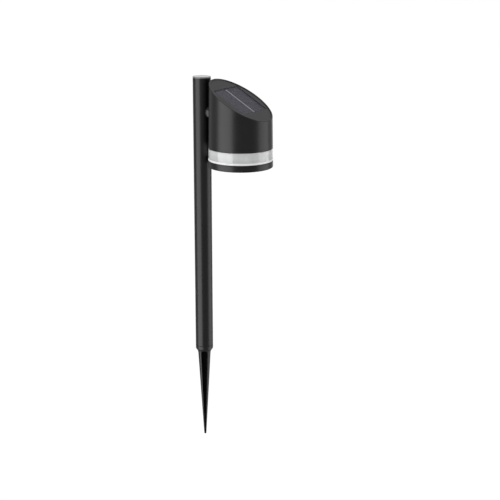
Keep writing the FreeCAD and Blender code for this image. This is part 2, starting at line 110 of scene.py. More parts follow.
# %% Camera
CAMERA_PLACE = Vector((702.1, -1081.4, 468.6)) * MM
CAMERA_AHEAD = Vector((-0.4933, 0.8286, -0.2647))
LENS = 89.29
SENSOR_WIDTH = 36
NEAREST = 0.05
bpy.ops.object.camera_add(location=CAMERA_PLACE)
camera = bpy.context.object
camera.name = "camera"
camera.rotation_euler = CAMERA_AHEAD.to_track_quat("-Z", "Y").to_euler()
camera.data.lens = LENS
camera.data.sensor_width = SENSOR_WIDTH
camera.data.clip_start = NEAREST
bpy.context.scene.camera = camera
print("camera stands", round(CAMERA_PLACE.length, 2), "m from the spike's root")

# %% [markdown]
# These helpers do what a hand does in the window: let go of everything, pick faces or edges by
# where they are, and press apply on a modifier. Each one works on a single piece.

# %% Modelling helpers
MERGE_DISTANCE = 0.002 * MM
SAME_POINT = 1e-7
SMOOTH_ANGLE = math.radians(40)


def let_go():
    """Deselect every object."""
    for item in bpy.context.scene.objects:
        item.select_set(False)


def take(piece):
    """Make one piece the only selected and active one."""
    let_go()
    piece.select_set(True)
    bpy.context.view_layer.objects.active = piece


def select_all():
    """In edit mode, select the whole mesh."""
    bpy.ops.mesh.select_all(action="SELECT")


def pick(piece, kind, test):
    """In edit mode, select only the faces or vertices that pass a test."""
    bpy.ops.mesh.select_all(action="DESELECT")
    mesh = bmesh.from_edit_mesh(piece.data)
    for element in getattr(mesh, kind):
        element.select_set(test(element))
    mesh.select_flush_mode()
    bmesh.update_edit_mesh(piece.data)


def edit(piece, mode="FACE"):
    """Enter edit mode on one piece with nothing selected."""
    take(piece)
    bpy.ops.object.mode_set(mode="EDIT")
    bpy.ops.mesh.select_mode(type=mode)
    bpy.ops.mesh.select_all(action="DESELECT")


def done():
    """Leave edit mode."""
    bpy.ops.object.mode_set(mode="OBJECT")


def tidy_normals(piece):
    """Merge doubles and turn all faces outwards."""
    edit(piece)
    select_all()
    bpy.ops.mesh.remove_doubles(threshold=MERGE_DISTANCE)
    bpy.ops.mesh.normals_make_consistent(inside=False)
    done()


def apply_modifier(piece, name, kind, **settings):
    """Add a modifier, set it and press apply."""
    modifier = piece.modifiers.new(name, kind)
    for label, value in settings.items():
        setattr(modifier, label, value)
    bpy.ops.object.modifier_apply(modifier=modifier.name)


def rounded(piece, width, segments=3, angle=35):
    """Round the sharp edges of a finished shape and smooth it, with the large faces kept flat."""
    take(piece)
    apply_modifier(piece, "rounding", "BEVEL", width=width, segments=segments,
                   limit_method="ANGLE", angle_limit=math.radians(angle))
    bpy.ops.object.shade_smooth_by_angle(angle=SMOOTH_ANGLE)
    apply_modifier(piece, "even", "WEIGHTED_NORMAL", keep_sharp=True)


def cut_by(piece, other, operation="DIFFERENCE"):
    """Take another shape out of a piece, or fuse it on, and throw the other away."""
    take(piece)
    apply_modifier(piece, "cut", "BOOLEAN", operation=operation, solver="EXACT", object=other)
    bpy.data.objects.remove(other)


def settle(piece):
    """Put the object's origin at the frame's origin, with its place in the mesh."""
    take(piece)
    bpy.ops.object.transform_apply(location=True, rotation=True, scale=True)


def carry(piece, x, y):
    """Move the mesh sideways and leave the origin where it is."""
    edit(piece, "VERT")
    select_all()
    bpy.ops.transform.translate(value=(x, y, 0))
    done()


def turned(name, outline, centre_x=0.0, steps=96, closed=True):
    """Draw one vertex out along half a section, then spin it about the upright axis."""
    let_go()
    bpy.ops.mesh.primitive_plane_add(size=MM)
    piece = bpy.context.object
    piece.name = name
    edit(piece, "VERT")
    select_all()
    bpy.ops.mesh.merge(type="CENTER")
    first = Vector((centre_x + outline[0][0], 0, outline[0][1]))
    bpy.ops.transform.translate(value=first)
    for before, after in zip(outline, outline[1:]):
        step = (after[0] - before[0], 0, after[1] - before[1])
        bpy.ops.mesh.extrude_region_move(TRANSFORM_OT_translate={"value": step})
    if closed:
        last = Vector((centre_x + outline[-1][0], 0, outline[-1][1]))
        pick(piece, "verts",
             lambda v: min((v.co - first).length, (v.co - last).length) < SAME_POINT)
        bpy.ops.mesh.edge_face_add()
    select_all()
    bpy.ops.mesh.spin(steps=steps, angle=2 * math.pi, center=(centre_x, 0, 0), axis=(0, 0, 1))
    done()
    settle(piece)
    tidy_normals(piece)
    return piece


def finish_piece(piece, body, slot, *replaced):
    """Say what the piece rides on and which nodes it stands for. The slot is not used."""
    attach(piece, body)
    if replaced:
        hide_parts(*replaced)
    print(piece.name, len(piece.data.polygons), "faces")


# %% [markdown]
# The post is a straight steel tube. A section is drawn as four points and spun, which keeps the
# wall's thickness at the open lower end, and the lips are rounded as a deburred and painted
# tube is.

# %% Post
POST_WALL = 1.2 * MM
post = turned("post", [
    (POST_R - POST_WALL, post_low.z),
    (POST_R, post_low.z),
    (POST_R, post_high.z),
    (POST_R - POST_WALL, post_high.z),
])
rounded(post, width=0.25 * MM)
finish_piece(post, "light", "post_paint", "post_tube")

# %% [markdown]
# The cap is a lid with a plug. The lid's edge is softly rounded and its top is lighter than the
# post: the cap is given a mid-grey colour, where the post's paint is near black.

# %% Post cap
PLUG_CLEARANCE = 0.05 * MM
PLUG_WALL = 1.4 * MM
PLUG_R = POST_R - POST_WALL - PLUG_CLEARANCE
cap = turned("cap", [
    (0, cap_high.z),
    (POST_R, cap_high.z),
    (POST_R, post_high.z),
    (PLUG_R, post_high.z),
    (PLUG_R, cap_low.z),
    (PLUG_R - PLUG_WALL, cap_low.z),
    (PLUG_R - PLUG_WALL, post_high.z),
    (0, post_high.z),
], closed=False)
rounded(cap, width=0.35 * MM)
finish_piece(cap, "light", "cap_plastic", "post_cap")

# %% [markdown]
# The spike is one moulding: a tapering point, a collar and a spigot. They are spun plain, from
# rings that stand closer together near the collar, where the flutes begin.

# %% Ground spike
SPIKE_STEPS = 144
SPIKE_TOP_R = 7.7 * MM
SPIKE_POINT_R = 1.35 * MM
TIP_ROUND = 1.2 * MM
TIP_RINGS = 7
CONE_RINGS = 40
CROWDING = 1.35
POINT_Z = spike_low.z + TIP_ROUND
COLLAR_FOOT_R = 6.95 * MM
COLLAR_TAPER = 4.0 * MM
COLLAR_EDGE = 0.3 * MM
TAPER_RINGS = 15
SPIGOT_R = POST_R - POST_WALL - 0.08 * MM
SPIGOT_WALL = 2.6 * MM
SPIGOT_CHAMFER = 0.8 * MM
SPIGOT_FLOOR = 3 * MM


def cone_radius(z):
    """Radius of the unfluted spike and its collar's taper at a height."""
    cone = SPIKE_TOP_R + (SPIKE_POINT_R - SPIKE_TOP_R) * min(z, 0) / POINT_Z
    taper = COLLAR_FOOT_R + (POST_R - COLLAR_FOOT_R) * z / COLLAR_TAPER
    return max(cone, taper) if z > 0 else cone


tip_rings = []
for index in range(TIP_RINGS):
    angle = math.radians(90 * index / TIP_RINGS)
    tip_rings.append((TIP_ROUND * math.sin(angle), POINT_Z - TIP_ROUND * math.cos(angle)))
body_rings = []
for index in range(CONE_RINGS + 1):
    z = POINT_Z * (1 - index / CONE_RINGS) ** CROWDING
    body_rings.append((cone_radius(z), z))
for index in range(1, TAPER_RINGS):
    z = COLLAR_TAPER * index / TAPER_RINGS
    body_rings.append((cone_radius(z), z))
collar_rings = [
    (POST_R, COLLAR_TAPER),
    (POST_R, post_low.z - COLLAR_EDGE),
    (POST_R - COLLAR_EDGE, post_low.z),
    (SPIGOT_R, post_low.z),
    (SPIGOT_R, spike_high.z - SPIGOT_CHAMFER),
    (SPIGOT_R - SPIGOT_CHAMFER, spike_high.z),
    (SPIGOT_R - SPIGOT_WALL, spike_high.z),
    (SPIGOT_R - SPIGOT_WALL, post_low.z + SPIGOT_FLOOR),
    (0, post_low.z + SPIGOT_FLOOR),
]
spike = turned("spike", tip_rings + body_rings + collar_rings, closed=False, steps=SPIKE_STEPS)

# %% [markdown]
# A lathe shape can't have flutes, so the four flutes are pressed into the spun spike: each point
# is drawn in towards the axis where a flute's round channel runs, with a soft lip at the edge.

# %% Flutes
FLUTE_R = 2.9 * MM
FLUTE_OFFSET = 6.2 * MM
FLUTE_START = 1.0 * MM
FLUTE_LIP = 0.2 * MM
FIN_TURN = math.radians(30.8 - 90)
TIP_MARGIN = 0.1 * MM


def flute_wall(z, turn):
    """Distance from the axis to a flute's channel in one direction, or None outside it."""
    along = min(max((-z - FLUTE_START) / (-POINT_Z - FLUTE_START), 0), 1)
    scale = 1 + (SPIKE_POINT_R / SPIKE_TOP_R - 1) * along
    above = max(0.0, z + FLUTE_START)
    channel = math.sqrt(max((FLUTE_R * scale) ** 2 - above ** 2, 0))
    across = FLUTE_OFFSET * scale * math.sin(turn)
    if abs(across) >= channel:
        return None
    return FLUTE_OFFSET * scale * math.cos(turn) - math.sqrt(channel ** 2 - across ** 2)


edit(spike, "VERT")
spike_mesh = bmesh.from_edit_mesh(spike.data)
for vertex in spike_mesh.verts:
    if vertex.co.z > COLLAR_TAPER or vertex.co.z < POINT_Z - TIP_MARGIN:
        continue
    angle = math.atan2(vertex.co.y, vertex.co.x) - FIN_TURN
    turn = (angle + math.pi / 4) % (math.pi / 2) - math.pi / 4
    channel_wall = flute_wall(vertex.co.z, turn)
    radius = math.hypot(vertex.co.x, vertex.co.y)
    if channel_wall is not None and channel_wall < radius:
        depth = radius - channel_wall
        factor = (radius - math.hypot(depth, FLUTE_LIP) + FLUTE_LIP) / radius
        vertex.co.x *= factor
        vertex.co.y *= factor
bmesh.update_edit_mesh(spike.data)
done()
take(spike)
bpy.ops.object.shade_smooth_by_angle(angle=math.radians(38))
finish_piece(spike, "spike", "spike_plastic", "ground_spike")

# %% [markdown]
# The head's shell starts as a drafted drum. It is cut by the slanted plane as a saw would, and
# the cut face is inset and pushed straight down to leave a rim round the panel. The foot is
# inset by the wall's true width and opened, and the surface then gets a thin skin.

# %% Head shell
DRUM_TOP = shell_high.z + 6 * MM
RIM_WIDTH = 1.7 * MM
RECESS = 0.5 * MM
PLATE = 2.4 * MM
SHELL_WALL = 2.2 * MM
SKIN = 0.6 * MM
FLAT_ANGLE = math.radians(0.5)
PARALLEL = 0.999
NEAR_RIM_CENTRE = 20 * MM


def slanted_drum(name, low):
    """Drafted drum from a height up, sawn off along the slanted plane, left in edit mode."""
    piece = turned(name, [
        (0, low),
        (head_radius(low), low),
        (head_radius(DRUM_TOP), DRUM_TOP),
        (0, DRUM_TOP),
    ], HEAD_X, steps=DRUM_STEPS, closed=False)
    edit(piece)
    select_all()
    bpy.ops.mesh.bisect(
        plane_co=RIM_CENTRE, plane_no=SLOPE_NORMAL, use_fill=True, clear_outer=True)
    return piece


def merge_flat():
    """Merge the facets that lie in one plane."""
    select_all()
    bpy.ops.mesh.dissolve_limited(angle_limit=FLAT_ANGLE)


def on_slope_face(face):
    """True for the slanted cut face."""
    off_centre = (face.calc_center_median() - RIM_CENTRE).length
    return face.normal.dot(SLOPE_NORMAL) > PARALLEL and off_centre < NEAR_RIM_CENTRE


def straight_down(depth):
    """Move along the drum's axis that reaches a depth below the slanted plane."""
    return Vector((0, 0, -depth / math.cos(SLOPE)))


def draw_out(move):
    """Extrude what is selected along a move."""
    bpy.ops.mesh.extrude_region_move(TRANSFORM_OT_translate={"value": move})


shell = slanted_drum("shell", RING_TOP)
merge_flat()
pick(shell, "faces", on_slope_face)
bpy.ops.mesh.inset(thickness=RIM_WIDTH)
draw_out(straight_down(RECESS + PLATE))
pick(shell, "faces", lambda face: face.normal.z < -PARALLEL)
bpy.ops.mesh.inset(thickness=SHELL_WALL)
bpy.ops.mesh.delete(type="FACE")
done()
tidy_normals(shell)
rounded(shell, width=0.35 * MM, angle=40)
take(shell)
apply_modifier(shell, "wall", "SOLIDIFY", thickness=SKIN, offset=-1)
finish_piece(shell, "light", "head_plastic", "head_shell")

# %% [markdown]
# Between post and head sits a small barrel-shaped boss. It is turned upright first, laid over to
# point along X, and then hollowed by two drums, one as wide as the post and one shaped like the
# head.

# %% Spacer
spacer_low, spacer_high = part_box("saddle_spacer")
FIXING_Z = (spacer_low.z + spacer_high.z) / 2
GAP_MIDDLE = POST_R + 2.0 * MM
CROWN_R = (spacer_high.z - spacer_low.z) / 2
REACH = 5.5 * MM
END_R = 5.5 * MM
BORE_R = 2.2 * MM
ARC_R = (REACH ** 2 + (CROWN_R - END_R) ** 2) / (2 * (CROWN_R - END_R))
HALF_RINGS = 6
CUTTER_HALF = 20 * MM
barrel = [(BORE_R, -REACH)]
for index in range(2 * HALF_RINGS + 1):
    along = REACH * (index / HALF_RINGS - 1)
    barrel.append((CROWN_R - ARC_R + math.sqrt(ARC_R ** 2 - along ** 2), along))
barrel.append((BORE_R, REACH))
spacer = turned("spacer", barrel)
take(spacer)
bpy.ops.transform.rotate(value=math.radians(90), orient_axis="Y", center_override=(0, 0, 0))
bpy.ops.transform.translate(value=(GAP_MIDDLE, 0, FIXING_Z))
settle(spacer)
let_go()
bpy.ops.mesh.primitive_cylinder_add(
    vertices=192, radius=POST_R, depth=2 * CUTTER_HALF, location=(0, 0, FIXING_Z))
cut_by(spacer, bpy.context.object)
let_go()
bpy.ops.mesh.primitive_cone_add(
    vertices=256, radius1=head_radius(FIXING_Z - CUTTER_HALF),
    radius2=head_radius(FIXING_Z + CUTTER_HALF),
    depth=2 * CUTTER_HALF, location=(HEAD_X, 0, FIXING_Z))
cut_by(spacer, bpy.context.object)
take(spacer)
bpy.ops.object.shade_smooth_by_angle(angle=math.radians(30))
finish_piece(spacer, "light", "trim_plastic", "saddle_spacer")

# %% [markdown]
# The bezel is the flat face plate round the solar panel. It is cut from the same slanted drum, a
# hair smaller than the recess, and a box cuts the panel's opening out of it.

# %% Bezel
PANEL_LENGTH = 42 * MM
PANEL_WIDTH = 46 * MM
FIT = 0.02 * MM
UNDER_BEZEL = 0.4 * MM
BEZEL_DRUM_LOW = RING_TOP + 10 * MM


def slope_box(name, length, width, low, high):
    """Block that lies parallel to the slanted plane, between two distances from it."""
    let_go()
    bpy.ops.mesh.primitive_cube_add(size=1)
    piece = bpy.context.object
    piece.name = name
    place = Matrix.Translation(RIM_CENTRE + SLOPE_NORMAL * (low + high) / 2)
    turn = Matrix.Rotation(SLOPE, 4, "Y")
    size = Matrix.Diagonal((length, width, high - low, 1))
    piece.matrix_world = place @ turn @ size
    settle(piece)
    return piece


bezel = slanted_drum("bezel", BEZEL_DRUM_LOW)
pick(bezel, "faces", lambda face: not on_slope_face(face))
bpy.ops.mesh.delete(type="FACE")
merge_flat()
select_all()
bpy.ops.mesh.inset(thickness=RIM_WIDTH + FIT)
bpy.ops.mesh.select_all(action="INVERT")
bpy.ops.mesh.delete(type="FACE")
select_all()
bpy.ops.transform.translate(value=straight_down(RECESS + PLATE - UNDER_BEZEL))
draw_out(-straight_down(PLATE - UNDER_BEZEL))
done()
tidy_normals(bezel)
opening = slope_box("opening", PANEL_LENGTH + 2 * FIT, PANEL_WIDTH + 2 * FIT,
                    low=-8 * MM, high=2 * MM)
cut_by(bezel, opening)
rounded(bezel, width=0.06 * MM, segments=2, angle=40)
finish_piece(bezel, "light", "bezel_plastic", "panel_bezel")

# %% [markdown]
# The clear layer over the cells is poured resin: a thin plate with soft edges, level with the
# bezel.

# %% Resin cover
COVER_UNDER = 1.4 * MM
cover = slope_box("cover", PANEL_LENGTH, PANEL_WIDTH, low=-COVER_UNDER, high=-RECESS)
rounded(cover, width=0.05 * MM, segments=2)
finish_piece(cover, "light", "clear_resin", "panel_cover")

# %% [markdown]
# The light ring is a moulding with a thinner tongue above and below, which the shell and the base
# hide. It is spun as one closed section, so that light passes two real surfaces and bends as in
# the real ring. The ring's foot is a white band of its own, which paints the bright line of light
# along the ring's lower edge above the base.

# %% Light ring
RING_WALL = 2.4 * MM
RING_IN = head_radius(RING_BOTTOM) - RING_WALL
TONGUE_R = RING_IN + 1.1 * MM
PROUD = 0.15 * MM
SOLE = 2.1 * MM
SOLE_IN = TONGUE_R + 0.03 * MM
SOLE_OUT = head_radius(RING_BOTTOM) + PROUD
ring = turned("ring", [
    (RING_IN, ring_low.z),
    (TONGUE_R, ring_low.z),
    (TONGUE_R, RING_BOTTOM + SOLE),
    (SOLE_OUT, RING_BOTTOM + SOLE),
    (head_radius(RING_TOP) + PROUD, RING_TOP),
    (TONGUE_R, RING_TOP),
    (TONGUE_R, ring_high.z),
    (RING_IN, ring_high.z),
], HEAD_X, steps=DRUM_STEPS)
rounded(ring, width=0.3 * MM)
finish_piece(ring, "light", "clear_plastic", "light_ring")
# The foot band carries the painted highlight in its white finish.
sole = turned("ring_sole", [
    (SOLE_IN, RING_BOTTOM),
    (SOLE_OUT, RING_BOTTOM),
    (SOLE_OUT, RING_BOTTOM + SOLE),
    (SOLE_IN, RING_BOTTOM + SOLE),
], HEAD_X, steps=DRUM_STEPS)
rounded(sole, width=0.2 * MM)
finish_piece(sole, "light", "clear_plastic")

# %% [markdown]
# Behind the ring lies a shallow silver cone that turns the lamps' light outwards.
# The plated skin is spun with a narrow flat brim, and its edges are softened.

# %% Reflector
CONE_THICKNESS = 0.8 * MM
CONE_RISE = 8.0 * MM
CONE_TOP_R = 9 * MM
LEAD_HOLE_R = 2.4 * MM
BRIM_R = RING_IN - 0.3 * MM
BRIM_WIDTH = 1.4 * MM
reflector = turned("cone", [
    (LEAD_HOLE_R, RING_BOTTOM + CONE_RISE),
    (CONE_TOP_R, RING_BOTTOM + CONE_RISE),
    (BRIM_R - BRIM_WIDTH, RING_BOTTOM),
    (BRIM_R, RING_BOTTOM),
    (BRIM_R, RING_BOTTOM + CONE_THICKNESS),
    (BRIM_R - BRIM_WIDTH, RING_BOTTOM + CONE_THICKNESS),
    (CONE_TOP_R, RING_BOTTOM + CONE_RISE + CONE_THICKNESS),
    (LEAD_HOLE_R, RING_BOTTOM + CONE_RISE + CONE_THICKNESS),
], HEAD_X, steps=128)
rounded(reflector, width=0.3 * MM, angle=15)
finish_piece(reflector, "light", "silver_plating", "reflector")

# %% [markdown]
# The base is a shallow cup. Its section has the rounded lower edge, the narrow shadow gap under
# the ring, the groove for the ring's tongue and the flat floor. The switch's housing and four
# screw feet are fused on, and the pockets, the screw holes and the switch well are cut out.

# %% Base cup
CUP_FLOOR = 2.0 * MM
NECK = 0.8 * MM
NECK_DEPTH = 0.7 * MM
NECK_Z = RING_BOTTOM - NECK
GROOVE = 2.3 * MM
GROOVE_CLEARANCE = 0.1 * MM
GROOVE_OUT = TONGUE_R + GROOVE_CLEARANCE
GROOVE_IN = RING_IN - GROOVE_CLEARANCE
LIP_IN = RING_IN - 1.1 * MM
EDGE_ROUND = 0.8 * MM
EDGE_STEPS = 5
WELL_X = 9.0 * MM
WELL_Y = 16.0 * MM
WELL_ROOF = 3.4 * MM
HOUSING_WALL = 1.4 * MM
BOSS_CIRCLE = (board_high.x - HEAD_X) - 3.7 * MM
FOOT_R = 4.4 * MM
FOOT_TOP = BASE_Z + 4.6 * MM
POCKET_R = 3.0 * MM
POCKET = 3.0 * MM
SCREW_HOLE_R = 1.7 * MM
SUNK = 0.3 * MM
IN_FLOOR = BASE_Z + CUP_FLOOR - SUNK
OVERSHOOT = 1 * MM
bosses = []
for index in range(4):
    angle = math.radians(45 + 90 * index)
    bosses.append((HEAD_X + BOSS_CIRCLE * math.cos(angle), BOSS_CIRCLE * math.sin(angle)))


def drill(radius, low, high, x, y):
    """Round cutter between two heights."""
    let_go()
    bpy.ops.mesh.primitive_cylinder_add(
        vertices=48, radius=radius, depth=high - low, location=(x, y, (low + high) / 2))
    cutter = bpy.context.object
    settle(cutter)
    return cutter


def block(name, x, y, low, high, size_x, size_y):
    """Upright block between two heights."""
    let_go()
    bpy.ops.mesh.primitive_cube_add(size=1, location=(x, y, (low + high) / 2))
    piece = bpy.context.object
    piece.name = name
    piece.scale = (size_x, size_y, high - low)
    settle(piece)
    return piece


edge_arc = []
for index in range(EDGE_STEPS + 1):
    angle = math.radians(90 * index / EDGE_STEPS)
    edge_arc.append((head_radius(BASE_Z) - EDGE_ROUND + EDGE_ROUND * math.sin(angle),
                     BASE_Z + EDGE_ROUND - EDGE_ROUND * math.cos(angle)))
base = turned("base", [(0, BASE_Z)] + edge_arc + [
    (head_radius(NECK_Z), NECK_Z),
    (head_radius(NECK_Z) - NECK_DEPTH, NECK_Z),
    (head_radius(RING_BOTTOM) - NECK_DEPTH, RING_BOTTOM),
    (GROOVE_OUT, RING_BOTTOM),
    (GROOVE_OUT, RING_BOTTOM - GROOVE),
    (GROOVE_IN, RING_BOTTOM - GROOVE),
    (GROOVE_IN, RING_BOTTOM),
    (LIP_IN, RING_BOTTOM),
    (LIP_IN, BASE_Z + CUP_FLOOR),
    (0, BASE_Z + CUP_FLOOR),
], HEAD_X, steps=DRUM_STEPS, closed=False)
housing = block("housing", HEAD_X, 0, IN_FLOOR, BASE_Z + WELL_ROOF + HOUSING_WALL,
                WELL_X + 2 * HOUSING_WALL, WELL_Y + 2 * HOUSING_WALL)
cut_by(base, housing, "UNION")
for x, y in bosses:
    cut_by(base, drill(FOOT_R, IN_FLOOR, FOOT_TOP, x, y), "UNION")
    cut_by(base, drill(POCKET_R, BASE_Z - OVERSHOOT, BASE_Z + POCKET, x, y))
    cut_by(base, drill(SCREW_HOLE_R, BASE_Z, FOOT_TOP + OVERSHOOT, x, y))
cut_by(base, block("well", HEAD_X, 0, BASE_Z - OVERSHOOT, BASE_Z + WELL_ROOF, WELL_X, WELL_Y))
tidy_normals(base)
rounded(base, width=0.15 * MM, segments=2, angle=50)
finish_piece(base, "light", "head_plastic", "base_cup")

# %% [markdown]
# Four pillars rise from the base to the light board and show through the ring as upright bars.
# Each is a turned tube with a small skirt at its foot, silvered like the reflector beside it.

# %% Pillars
PILLAR_R = 2.5 * MM
SKIRT_R = FOOT_R - 0.6 * MM
SKIRT_TOP = FOOT_TOP + 1.2 * MM
for index, (x, y) in enumerate(bosses):
    pillar = turned("pillar_" + str(index), [
        (SCREW_HOLE_R, FOOT_TOP),
        (SKIRT_R, FOOT_TOP),
        (PILLAR_R, SKIRT_TOP),
        (PILLAR_R, board_low.z),
        (SCREW_HOLE_R, board_low.z),
    ], steps=40)
    rounded(pillar, width=0.2 * MM, segments=2)
    carry(pillar, x, y)
    finish_piece(pillar, "light", "silver_plating")

# %% [markdown]
# Each base screw has a round head with a cross recess. Head and shank are spun as one outline,
# the shank runs up inside its pillar, and the cross is cut with two bars.

# %% Base screws
screw_low, screw_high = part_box("base_screws")
SHANK_R = 1.5 * MM
HEAD_R = 2.7 * MM
SEAT_Z = screw_low.z + 1.8 * MM
CROSS_LENGTH = 2.9 * MM
CROSS_WIDTH = 0.6 * MM
CROSS_DEPTH = 0.9 * MM
for index, (x, y) in enumerate(bosses):
    screw = turned("screw_" + str(index), [
        (0, screw_low.z),
        (1.5 * MM, screw_low.z + 0.06 * MM),
        (2.2 * MM, screw_low.z + 0.3 * MM),
        (HEAD_R, screw_low.z + 0.9 * MM),
        (HEAD_R, SEAT_Z),
        (SHANK_R, SEAT_Z),
        (SHANK_R, screw_high.z),
        (0, screw_high.z),
    ], steps=32, closed=False)
    for size_x, size_y in ((CROSS_LENGTH, CROSS_WIDTH), (CROSS_WIDTH, CROSS_LENGTH)):
        cut_by(screw, block("bar", 0, 0, screw_low.z - OVERSHOOT, screw_low.z + CROSS_DEPTH,
                            size_x, size_y))
    rounded(screw, width=0.06 * MM, segments=1, angle=50)
    carry(screw, x, y)
    finish_piece(screw, "light", "steel", *(["base_screws"] if index == 0 else []))

# %% [markdown]
# The switch's finger knob is a small block with five raised ridges, so that a wet finger can
# push it.
# The ridges are made by cutting the lower face into strips and drawing every other strip down.

# %% Switch knob
knob_low, knob_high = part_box("switch_knob")
KNOB_X = 4 * MM
KNOB_Y = 5 * MM
KNOB_TOP = knob_low.z + 1.8 * MM
RIDGE = 0.3 * MM
STRIPS = 9
STEM_X = 2.6 * MM
STEM_Y = 3 * MM
STEM_LOW = knob_low.z + 1.7 * MM
knob_x = (knob_low.x + knob_high.x) / 2
knob_y = (knob_low.y + knob_high.y) / 2


def ridge_face(face):
    """Every other strip of the knob's lower face."""
    if face.normal.z > -0.9:
        return False
    strip = int((face.calc_center_median().y - knob_y + KNOB_Y / 2) / (KNOB_Y / STRIPS))
    return strip % 2 == 0


knob = block("knob", knob_x, knob_y, knob_low.z + RIDGE, KNOB_TOP, KNOB_X, KNOB_Y)
edit(knob)
for index in range(1, STRIPS):
    select_all()
    strip_y = knob_y + (index / STRIPS - 0.5) * KNOB_Y
    bpy.ops.mesh.bisect(plane_co=(0, strip_y, 0), plane_no=(0, 1, 0))
pick(knob, "faces", ridge_face)
draw_out((0, 0, -RIDGE))
done()
rounded(knob, width=0.1 * MM, segments=2)
stem = block("stem", knob_x, knob_y, STEM_LOW, knob_high.z, STEM_X, STEM_Y)
rounded(stem, width=0.1 * MM, segments=2)
finish_piece(knob, "switch", "trim_plastic", "switch_knob")
finish_piece(stem, "switch", "trim_plastic")

# %% [markdown]
# Four small helpers lay out a shader: one adds a node with its values, one adds a mix of two
# colours, one draws the wires and one starts a new material. Each wire says from which node and
# output to which node and input it runs.

# %% Shader helpers


def add(tree, kind, operation=None, second=None, **values):
    """Add a node, choose its operation and set its plain inputs."""
    node = tree.nodes.new("ShaderNode" + kind)
    if operation:
        node.operation = operation
    if second is not None:
        node.inputs[1].default_value = second
    for label, value in values.items():
        node.inputs[label.replace("_", " ")].default_value = value
    return node


def colour_mix(tree, **colours):
    """Add a node that mixes two colours."""
    node = tree.nodes.new("ShaderNodeMix")
    node.data_type = "RGBA"
    for label, colour in colours.items():
        node.inputs[label].default_value = (*colour, 1)
    return node


def join(tree, *wires):
    """Link nodes from an output to an input."""
    for source, output, target, socket in wires:
        tree.links.new(source.outputs[output], target.inputs[socket])


def finish(name, **values):
    """New material with its shader's plain values set."""
    material = bpy.data.materials.new(name)
    material.use_nodes = True
    shader = material.node_tree.nodes["Principled BSDF"]
    for label, value in values.items():
        shader.inputs[label.replace("_", " ")].default_value = value
    return material, shader


# %% [markdown]
# The finishes share one effect. Fine grain is the texture of a moulding tool or of powder coat:
# a tiny bump, a little unevenness in gloss and in shade. It is one node group that each finish
# sets its own way.

# %% Shared effect


def new_group(name, inputs, outputs):
    """Node group with named number or colour sockets."""
    group = bpy.data.node_groups.new(name, "ShaderNodeTree")
    for label, kind, value in inputs:
        socket = group.interface.new_socket(label, in_out="INPUT", socket_type=kind)
        socket.default_value = value
    for label, kind in outputs:
        group.interface.new_socket(label, in_out="OUTPUT", socket_type=kind)
    enter = group.nodes.new("NodeGroupInput")
    leave = group.nodes.new("NodeGroupOutput")
    return group, enter, leave


def grain_group():
    """Fine moulded or sprayed grain: a colour, a roughness and a height."""
    group, enter, leave = new_group("fine_grain", [
        ("Colour", "NodeSocketColor", (0.02, 0.02, 0.02, 1)),
        ("Second Colour", "NodeSocketColor", (0.03, 0.03, 0.03, 1)),
        ("Grain Size", "NodeSocketFloat", 900.0),
        ("Roughness", "NodeSocketFloat", 0.4),
        ("Unevenness", "NodeSocketFloat", 0.06),
    ], [
        ("Colour", "NodeSocketColor"),
        ("Roughness", "NodeSocketFloat"),
        ("Height", "NodeSocketFloat"),
    ])
    place = add(group, "TexCoord")
    grain = add(group, "TexNoise", Detail=3)
    cloud = add(group, "TexNoise", Scale=55, Detail=2)
    spread = add(group, "MapRange", From_Min=0.3, From_Max=0.7)
    blend = colour_mix(group)
    centred = add(group, "Math", "SUBTRACT", second=0.5)
    wander = add(group, "Math", "MULTIPLY_ADD")
    join(group,
         (place, "Object", grain, "Vector"),
         (place, "Object", cloud, "Vector"),
         (enter, "Grain Size", grain, "Scale"),
         (cloud, "Fac", spread, "Value"),
         (spread, "Result", blend, "Factor"),
         (enter, "Colour", blend, "A"),
         (enter, "Second Colour", blend, "B"),
         (cloud, "Fac", centred, 0),
         (centred, "Value", wander, 0),
         (enter, "Unevenness", wander, 1),
         (enter, "Roughness", wander, 2),
         (blend, "Result", leave, "Colour"),
         (wander, "Value", leave, "Roughness"),
         (grain, "Fac", leave, "Height"))
    return group


GRAIN = grain_group()
BUMP_DISTANCE = 0.05 * MM


def grained(name, colour, second_colour, size, roughness, unevenness, bump, **values):
    """Material with the fine grain effect on colour, roughness and normal."""
    material, shader = finish(name, **values)
    tree = material.node_tree
    grain = tree.nodes.new("ShaderNodeGroup")
    grain.node_tree = GRAIN
    settings = {
        "Colour": (*colour, 1),
        "Second Colour": (*second_colour, 1),
        "Grain Size": size,
        "Roughness": roughness,
        "Unevenness": unevenness,
    }
    for label, value in settings.items():
        grain.inputs[label].default_value = value
    relief = add(tree, "Bump", Strength=bump, Distance=BUMP_DISTANCE)
    join(tree,
         (grain, "Colour", shader, "Base Color"),
         (grain, "Roughness", shader, "Roughness"),
         (grain, "Height", relief, "Height"),
         (relief, "Normal", shader, "Normal"))
    return material


looks = {}


def make_looks(rows, **values):
    """Make a grained material for each row: name, two colours, grain size, roughness,
    unevenness and bump."""
    for name, *row in rows:
        looks[name] = grained(name, *row, **values)
        print("finish", name)
